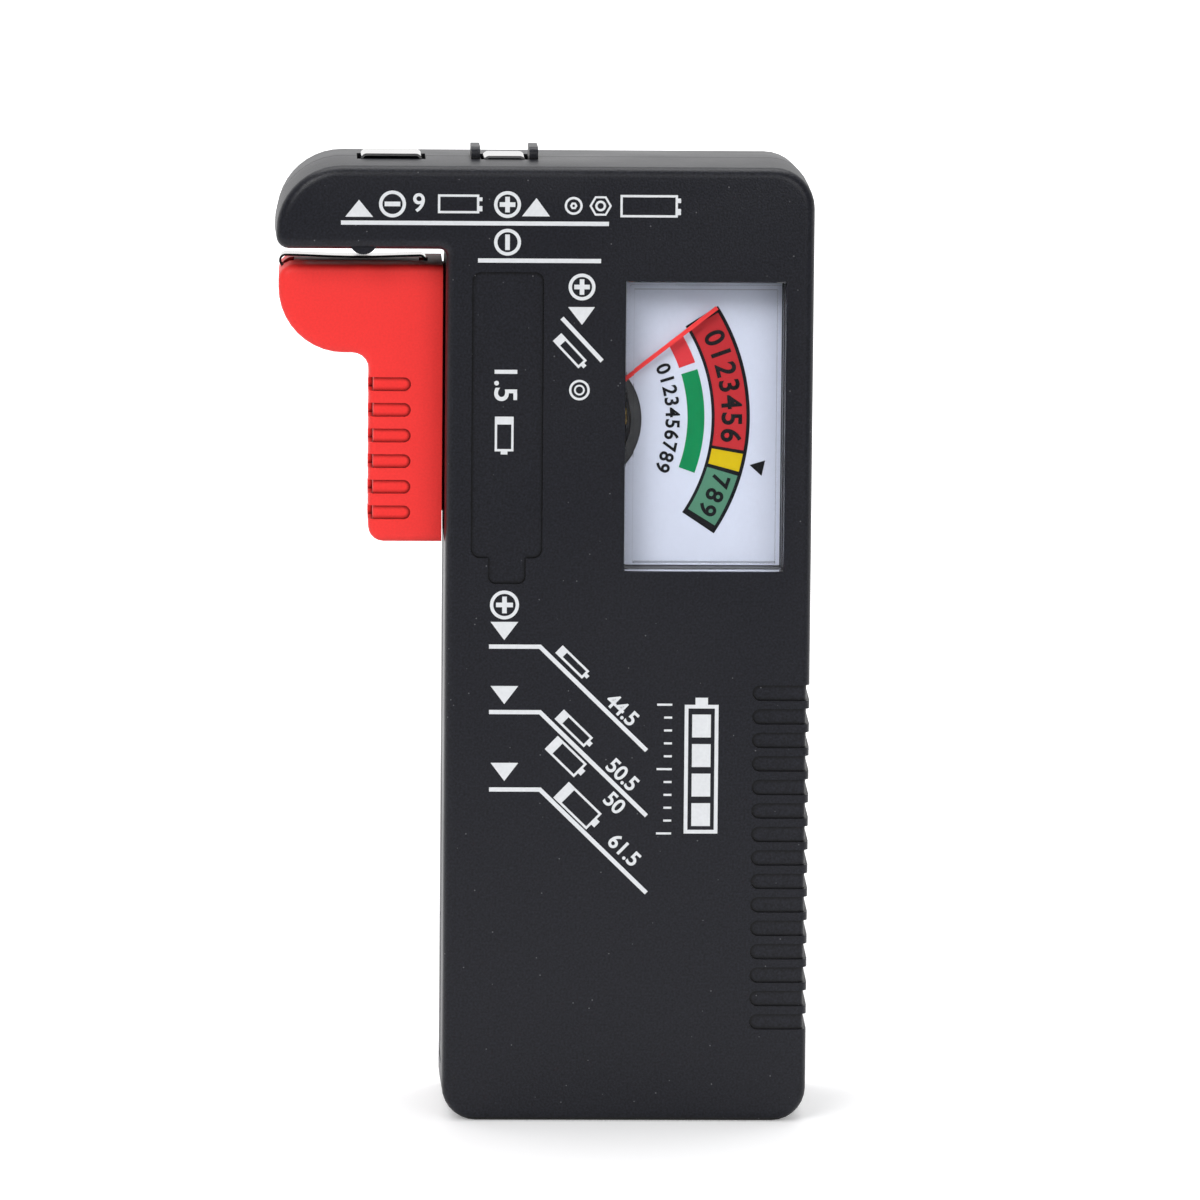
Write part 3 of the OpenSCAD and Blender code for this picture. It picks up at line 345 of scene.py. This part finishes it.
class Marks:
    """Collects thin flat shapes into one piece."""

    def __init__(self, y, thick):
        self.bm = bmesh.new()
        self.y, self.thick = y, thick

    def face(self, points):
        """A filled outline, as a thin plate."""
        back = [self.bm.verts.new((x, self.y, z)) for x, z in points]
        front = [self.bm.verts.new((x, self.y - self.thick, z)) for x, z in points]
        self.bm.faces.new(front)
        self.bm.faces.new(back[::-1])
        for i in range(len(points)):
            j = (i + 1) % len(points)
            self.bm.faces.new((back[i], back[j], front[j], front[i]))

    def band(self, inner, outer, closed=False):
        """A strip between two lines of the same number of points, or between two closed outlines."""
        back_in, back_out, front_in, front_out = [
            [self.bm.verts.new((x, y, z)) for x, z in line]
            for y in (self.y, self.y - self.thick) for line in (inner, outer)]
        walls = ((front_in, front_out), (front_out, back_out), (back_out, back_in), (back_in, front_in))
        last = len(inner) - 1
        for i in range(last + closed):
            j = (i + 1) % len(inner)
            for a, b in walls:
                self.bm.faces.new((a[i], a[j], b[j], b[i]))
        if not closed:
            for i in (0, last):
                self.bm.faces.new((back_in[i], back_out[i], front_out[i], front_in[i]))

    def line(self, points, width):
        """A stroke along the points, with mitred corners."""
        points = [Vector(p) for p in points]
        ways = [(b - a).normalized() for a, b in zip(points, points[1:])]
        left, right = [], []
        for i, p in enumerate(points):
            before, after = ways[max(i - 1, 0)], ways[min(i, len(ways) - 1)]
            mean = (before + after).normalized()
            reach = mean.orthogonal() * width / 2 / mean.dot(after)
            left.append(tuple(p + reach))
            right.append(tuple(p - reach))
        self.band(left, right)

    def plus(self, centre, reach, width):
        """A plus sign as one outline."""
        h = width / 2
        arm = [(h, h), (reach, h), (reach, -h)]
        outline = []
        for turn in range(4):
            c, s = [(1, 0), (0, -1), (-1, 0), (0, 1)][turn]
            outline += [(centre[0] + x * c - z * s, centre[1] + x * s + z * c) for x, z in arm]
        self.face(outline)

    def ring(self, centre, radius, width, steps=48):
        """A round ring, or one with few sides."""
        turn = [2 * math.pi * i / steps for i in range(steps)]
        inner, outer = [[(centre[0] + r * math.cos(t), centre[1] + r * math.sin(t)) for t in turn]
                        for r in (radius - width, radius)]
        self.band(inner, outer, True)

    def piece(self, name, mat, body):
        bmesh.ops.remove_doubles(self.bm, verts=self.bm.verts, dist=1e-7)
        bmesh.ops.recalc_face_normals(self.bm, faces=self.bm.faces)
        mesh = bpy.data.meshes.new(name)
        self.bm.to_mesh(mesh)
        self.bm.free()
        obj = bpy.data.objects.new(name, mesh)
        bpy.context.scene.collection.objects.link(obj)
        mesh.materials.append(mat)
        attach(obj, body)
        return obj


INK_T = 0.03 * MM             # thickness of the case's print
STROKE = 0.38 * MM            # stroke of the circled signs
LINE = 0.48 * MM              # stroke of the long lines
FINE = 0.26 * MM              # stroke of the small outlines
EM_PER_FIGURE = 1.37          # the font's size for figures one unit high
DIAL_WEIGHT = 0.034           # close to this, some figures' outlines cross themselves


def placed(points, centre, angle):
    """Points around an origin, turned by angle and moved to centre."""
    c, s = math.cos(angle), math.sin(angle)
    return [(centre[0] + x * c - z * s, centre[1] + x * s + z * c) for x, z in points]


def numeral(marks, text, centre, height, angle=0.0, weight=0.02):
    """Plain figures, centred on a point."""
    curve = bpy.data.curves.new("figure", "FONT")
    curve.body, curve.size, curve.align_x, curve.align_y = text, height * EM_PER_FIGURE, "CENTER", "CENTER"
    curve.extrude, curve.offset = marks.thick / 2, height * weight
    obj = bpy.data.objects.new("figure", curve)
    bpy.context.scene.collection.objects.link(obj)
    bpy.context.view_layer.update()
    mesh = bpy.data.meshes.new_from_object(obj)
    bpy.data.objects.remove(obj)
    middle_y = marks.y - marks.thick / 2
    upright = Matrix(((1, 0, 0, centre[0]), (0, 0, -1, middle_y), (0, 1, 0, centre[1]), (0, 0, 0, 1)))
    mesh.transform(upright @ Matrix.Rotation(angle, 4, "Z"))
    marks.bm.from_mesh(mesh)
    bpy.data.meshes.remove(mesh)


def circled(marks, centre, radius, upright, across):
    """A ring around a plus, or around one bar of it."""
    marks.ring(centre, radius, STROKE)
    reach, width = radius * 0.58, 0.52 * MM
    if across and upright:
        marks.plus(centre, reach, width)
    elif across:
        marks.line([(centre[0] - reach, centre[1]), (centre[0] + reach, centre[1])], width)
    else:
        marks.line([(centre[0], centre[1] - reach), (centre[0], centre[1] + reach)], width)


def outlined(marks, length, width, centre, angle, stroke, filled=0.0):
    """A closed rectangle drawn with one stroke, which is filled for a length at its near end."""
    inner, outer = [
        placed([(near, -b), (a, -b), (a, b), (near, b)], centre, angle)
        for near, a, b in ((-length / 2 + stroke + filled, length / 2 - stroke, width / 2 - stroke),
                           (-length / 2, length / 2, width / 2))]
    marks.band(inner, outer, True)


def cell(marks, centre, length, width, angle, stroke=FINE):
    """The outline of a round cell: a case with a button at its far end and a band at the other."""
    outlined(marks, length, width, centre, angle, stroke, 0.16 * length)
    tip, half = length / 2 + 0.09 * length, width * 0.18
    marks.face(placed([(length / 2, -half), (tip, -half), (tip, half), (length / 2, half)], centre, angle))


def block_cell(marks, centre, length, width, angle, stroke=FINE):
    """The outline of a square block battery with its two snaps at one end."""
    outlined(marks, length, width, centre, angle, stroke)
    for side, half in ((-0.25, 0.14), (0.25, 0.1)):
        low, high = width * (side - half), width * (side + half)
        marks.face(placed([(length / 2, low), (length / 2 + 0.35 * MM, low),
                           (length / 2 + 0.35 * MM, high), (length / 2, high)], centre, angle))


def case_print():
    marks = Marks(front_y, INK_T)
    line = lambda width, *points: marks.line([local(*p) for p in points], width)
    wedge = lambda *points: marks.face([local(*p) for p in points])

    # the nine-volt terminals
    line(LINE, (-11.66, 101.5), (18.14, 101.5))
    wedge((-11.2, 102.15), (-8.1, 102.15), (-9.67, 104.05))
    circled(marks, local(-5.95, 103.6), 1.5 * MM, False, True)
    numeral(marks, "9", local(-3.0, 103.65), 2.1 * MM)
    block_cell(marks, local(1.4, 103.65), 4.6 * MM, 2.1 * MM, 0)
    circled(marks, local(6.84, 103.6), 1.5 * MM, True, True)
    wedge((8.46, 102.3), (11.57, 102.3), (10.06, 104.35))
    marks.ring(local(14.2, 103.5), 1.0 * MM, FINE)
    marks.ring(local(14.2, 103.5), 0.42 * MM, FINE, 6)
    marks.ring(local(17.2, 103.5), 1.25 * MM, FINE, 6)
    marks.ring(local(17.2, 103.5), 0.6 * MM, FINE)
    block_cell(marks, local(22.6, 103.5), 6.4 * MM, 2.5 * MM, 0)
    # the arm's terminal
    circled(marks, local(6.87, 99.4), 1.5 * MM, True, False)
    line(LINE, (3.6, 97.35), (17.3, 97.35))
    # small cells
    circled(marks, local(15.2, 94.44), 1.5 * MM, True, True)
    wedge((13.66, 92.2), (15.23, 90.2), (16.66, 92.2))
    line(LINE, (13.0, 90.96), (17.5, 86.17))
    slope = math.atan2(86.17 - 90.96, 17.5 - 13.0)
    cell(marks, local(13.9, 87.3), 4.2 * MM, 1.3 * MM, slope)
    marks.ring(local(15.0, 82.9), 1.15 * MM, FINE)
    marks.ring(local(15.0, 82.9), 0.6 * MM, 0.2 * MM)
    # the jaw's places for the larger cells
    circled(marks, local(6.81, 58.7), 1.63 * MM, True, True)
    rows = [(5.11, 54.0, 54.74), (5.16, 46.6, 47.5), (5.22, 37.83, 38.8)]
    for x, z, tip in rows:
        wedge((x + 0.15, tip + 2.05), (x + 1.7, tip), (x + 3.25, tip + 2.05))
        line(LINE, (x, z), (x + 5.71, z), (x + 17.75, z - 11.7))
    down = math.atan2(-11.7, 12.04)
    # each cell's outline and its length in millimetres
    sizes = ((0, 1.3, 4.2, 1.2, "44.5"), (1, 1.35, 4.6, 1.5, "50.5"),
             (1, -1.55, 4.6, 2.1, "50"), (2, 1.65, 5.2, 2.5, "61.5"))
    for row, side, length, width, figures in sizes:
        x, z = rows[row][0] + 5.71, rows[row][1]
        for along, kind in ((1.7 + length / 2, "cell"), (11.6, "figures")):
            along += 1.6 if side < 0 else 0
            place = local(x + along * math.cos(down) - side * math.sin(down),
                          z + along * math.sin(down) + side * math.cos(down))
            if kind == "cell":
                cell(marks, place, length * MM, width * MM, down)
            else:
                numeral(marks, figures, place, 1.75 * MM, down, 0.03)
    # a battery gauge beside the grip
    outlined(marks, 14.6 * MM, 3.8 * MM, local(29.0, 40.2), math.pi / 2, 0.42 * MM)
    marks.face([local(28.3, 47.5), local(29.7, 47.5), local(29.7, 48.3), local(28.3, 48.3)])
    for i in range(4):
        low = 33.75 + i * 3.35
        marks.face([local(27.95, low), local(30.05, low), local(30.05, low + 2.6), local(27.95, low + 2.6)])
    for i in range(11):
        z = 32.9 + i * 1.46
        reach = 1.7 if i % 5 == 0 else 0.9
        line(0.24 * MM, (25.7 - reach, z), (25.7, z))
    marks.piece("case_print", INK, "case")

    label = Marks(front_y + 0.3 * MM, INK_T)
    numeral(label, "1.5", local(6.65, 83.6), 2.6 * MM, -math.pi / 2)
    cell(label, local(6.65, 77.9), 3.9 * MM, 2.1 * MM, -math.pi / 2)
    label.piece("label_print", INK, "case")


case_print()


# ---- The dial's printed scale ----

def dial_print():
    y = dial_y
    centre = local(10.8, 79.3)

    def arc(radius, start, end, steps=40):
        """Points on a circle about the scale's centre, angles in degrees."""
        return [(centre[0] + radius * MM * math.cos(math.radians(start + (end - start) * i / steps)),
                 centre[1] + radius * MM * math.sin(math.radians(start + (end - start) * i / steps)))
                for i in range(steps + 1)]

    def sector(name, mat, r0, r1, start, end, thick):
        marks = Marks(y, thick * MM)
        marks.band(arc(r0, start, end), arc(r1, start, end))
        marks.piece(name, mat, "case")

    # the wide scale: a dark outline with three colours on it
    sector("scale_outline", BLACK_INK, 19.2, 23.5, 32.6, -33.6, 0.02)
    sector("scale_red", RED_INK, 19.55, 23.1, 31.0, -9.0, 0.035)
    sector("scale_yellow", YELLOW_INK, 19.55, 23.1, -10.0, -15.1, 0.035)
    sector("scale_green", SAGE_INK, 19.55, 23.1, -16.3, -31.6, 0.035)
    # the narrow scale
    sector("small_scale_red", BRIGHT_RED_INK, 16.5, 18.4, 30.3, 20.0, 0.03)
    sector("small_scale_green", GREEN_INK, 16.5, 18.4, 17.5, -19.6, 0.03)

    figures = Marks(y, 0.05 * MM)

    def row(text, radius, height, start, end):
        """Figures spaced evenly along an arc."""
        for i, value in enumerate(text):
            angle = start + (end - start) * i / (len(text) - 1)
            place = arc(radius, angle, angle, 1)[0]
            numeral(figures, value, place, height * MM, math.radians(angle) - math.pi / 2, DIAL_WEIGHT)

    row("0123456", 21.35, 2.3, 25.0, -5.2)
    row("789", 21.35, 2.0, -19.2, -28.6)
    row("0123456789", 14.75, 1.6, 22, -22)
    tip, wide = 24.1, 1.6
    figures.face([arc(r, a, a, 1)[0] for r, a in ((tip, -12.6), (tip + wide, -10.6), (tip + wide, -14.6))])
    figures.piece("dial_figures", BLACK_INK, "case")


dial_print()


# ---- Stage, light and camera ----

def camera():
    """A long lens, a little above the tester and turned slightly to it."""
    focal_px, yaw, pitch, roll = 8969.785, math.radians(1.944), math.radians(7.447), math.radians(0.480)
    place = Vector((seam_x - 16.257 * MM, -1006.785 * MM, 189.352 * MM))
    forward = Vector((math.sin(yaw) * math.cos(pitch), math.cos(yaw) * math.cos(pitch), -math.sin(pitch)))
    level = Vector((math.cos(yaw), -math.sin(yaw), 0))
    upright = level.cross(forward)
    right = math.cos(roll) * level + math.sin(roll) * upright
    up = -math.sin(roll) * level + math.cos(roll) * upright
    data = bpy.data.cameras.new("camera")
    data.sensor_width = 36
    data.lens = focal_px / 1200 * data.sensor_width
    data.clip_start, data.clip_end = 0.01, 50
    obj = bpy.data.objects.new("camera", data)
    obj.matrix_world = Matrix.Translation(place) @ Matrix((right, up, -forward)).transposed().to_4x4()
    bpy.context.scene.collection.objects.link(obj)
    bpy.context.scene.camera = obj


def lamp(name, place, target, size, power):
    data = bpy.data.lights.new(name, "AREA")
    data.shape, data.size, data.size_y, data.energy = "RECTANGLE", size[0], size[1], power
    obj = bpy.data.objects.new(name, data)
    obj.location = place
    obj.rotation_euler = (Vector(target) - Vector(place)).to_track_quat("-Z", "Y").to_euler()
    bpy.context.scene.collection.objects.link(obj)


def floor():
    """A wide white floor that keeps the tester's shadow. Lengths are in metres from its middle."""
    mesh = bpy.data.meshes.new("floor")
    bm = bmesh.new()
    bmesh.ops.create_circle(bm, cap_ends=True, segments=64, radius=6)
    bm.to_mesh(mesh)
    bm.free()
    obj = bpy.data.objects.new("floor", mesh)
    obj.location.z = cad_box[0][2]
    bpy.context.scene.collection.objects.link(obj)
    mat, tree, bsdf = new_material("white_floor")
    bsdf.inputs["Roughness"].default_value = 0.6
    seen = add(tree, "ShaderNodeLightPath")
    coords = add(tree, "ShaderNodeTexCoord").outputs["Object"]
    distance = add(tree, "ShaderNodeVectorMath", {0: coords}, operation="LENGTH").outputs["Value"]
    behind = add(tree, "ShaderNodeSeparateXYZ", {"Vector": coords}).outputs["Y"]
    # well in front the floor is dark to the lamps, as an unlit studio is, and stays white to the camera
    near = spread(tree, behind, 0.0, 1.0, -0.45, -0.15)
    tree.links.new(shades(tree, near, (0.03, 0.03, 0.03), (0.86, 0.86, 0.87), 0.0, 1.0),
                   bsdf.inputs["Base Color"])
    white = calc(tree, "MAXIMUM", spread(tree, distance, 0.27, 1.0, 0.1, 0.7),
                 spread(tree, behind, 1.0, 0.0, -0.4, -0.12))
    direct = calc(tree, "MULTIPLY", seen.outputs["Is Camera Ray"], white)
    glossy = calc(tree, "MULTIPLY", seen.outputs["Is Glossy Ray"], spread(tree, behind, 0, 0.7, 0.03, 0.3))
    bsdf.inputs["Emission Color"].default_value = (1, 1, 1, 1)
    tree.links.new(calc(tree, "ADD", direct, glossy), bsdf.inputs["Emission Strength"])
    mesh.materials.append(mat)


def world():
    """White to the camera and through glass, and a softer light that is brighter behind."""
    made = bpy.data.worlds.new("studio")
    made.use_nodes = True
    bpy.context.scene.world = made
    tree = made.node_tree
    seen = add(tree, "ShaderNodeLightPath")
    direct = calc(tree, "MAXIMUM", seen.outputs["Is Camera Ray"], seen.outputs["Is Transmission Ray"])
    way = add(tree, "ShaderNodeTexCoord").outputs["Generated"]
    behind = add(tree, "ShaderNodeSeparateXYZ", {"Vector": way}).outputs["Y"]
    soft = spread(tree, behind, 0.22, 0.95, -0.1, 0.7)
    back = tree.nodes["Background"]
    back.inputs["Color"].default_value = (1, 1, 1, 1)
    tree.links.new(calc(tree, "MAXIMUM", direct, soft), back.inputs["Strength"])


camera()
floor()
world()
middle = (0, 0, 0.055)
lamp("key", (-0.45, -0.85, 0.75), middle, (0.5, 0.5), 6.1)
lamp("fill", (0.4, -0.9, 0.45), middle, (0.5, 0.5), 2.4)
lamp("top", (0, 0.15, 0.9), middle, (0.8, 0.6), 5)
bpy.context.scene.view_settings.view_transform = "Standard"
